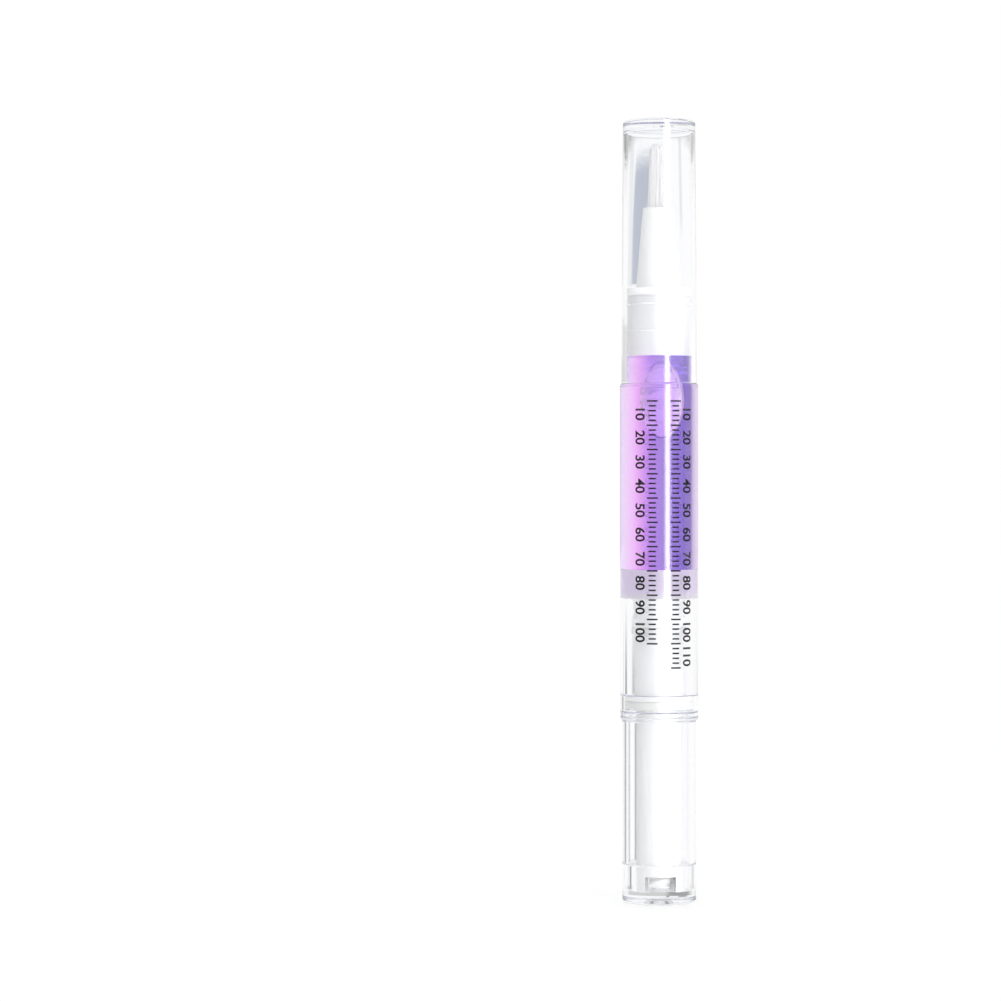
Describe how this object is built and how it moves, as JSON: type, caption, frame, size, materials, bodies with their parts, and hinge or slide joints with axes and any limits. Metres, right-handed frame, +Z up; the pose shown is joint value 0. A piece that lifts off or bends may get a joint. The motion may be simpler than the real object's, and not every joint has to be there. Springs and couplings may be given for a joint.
{
  "type": "nail oil pen",
  "caption": "Slim clear twist pen that feeds violet nail oil to a brush under a push-on clear cap; turning the tail drives a screw and piston.",
  "frame": {"origin": "centre of the flat base of the tail knob", "axes": "+Z up the pen from the base to the cap; -Y is the side that the picture shows"},
  "size_m": [0.013, 0.013, 0.13],
  "materials": {
    "clear_shell": "clear, polished",
    "violet_oil": "clear tinted liquid",
    "milky_plug": "translucent, frosted",
    "milky_piston": "translucent, soft",
    "white_moulding": "satin",
    "natural_ratchet": "natural, satin",
    "tube_plastic": "natural, soft",
    "bristle_fibre": "fine synthetic fibre"
  },
  "bodies": {
    "barrel": {"barrel": "clear_shell", "oil_charge": "violet_oil", "front_plug": "milky_plug", "feed_tube": "tube_plastic", "nozzle": "white_moulding", "brush_root": "bristle_fibre", "bristles": "bristle_fibre", "nut_sleeve": "white_moulding", "ratchet_ring": "natural_ratchet"},
    "cap": {"cap": "clear_shell"},
    "tail": {"tail_knob": "clear_shell", "driver_sleeve": "white_moulding", "click_spring": "white_moulding"},
    "screw": {"lead_screw": "white_moulding"},
    "piston": {"piston": "milky_piston"}
  },
  "joints": [
    {"name": "cap_pull", "type": "slide", "parent": "barrel", "child": "cap", "axis": [0, 0, 1], "range_m": [0, 0.046]},
    {"name": "tail_twist", "type": "hinge", "parent": "barrel", "child": "tail", "pos_m": [0, 0, 0.03], "axis": [0, 0, 1], "range_deg": [0, 3600], "deforming": ["oil_charge", "click_spring"]},
    {"name": "screw_feed", "type": "slide", "parent": "tail", "child": "screw", "axis": [0, 0, 1], "range_m": [0, 0.035]},
    {"name": "piston_push", "type": "slide", "parent": "barrel", "child": "piston", "axis": [0, 0, 1], "range_m": [0, 0.035]}
  ],
  "couplings": [
    {"joint": "screw_feed", "follows": "tail_twist", "m_per_rad": 0.00055704},
    {"joint": "piston_push", "follows": "tail_twist", "m_per_rad": 0.00055704}
  ]
}
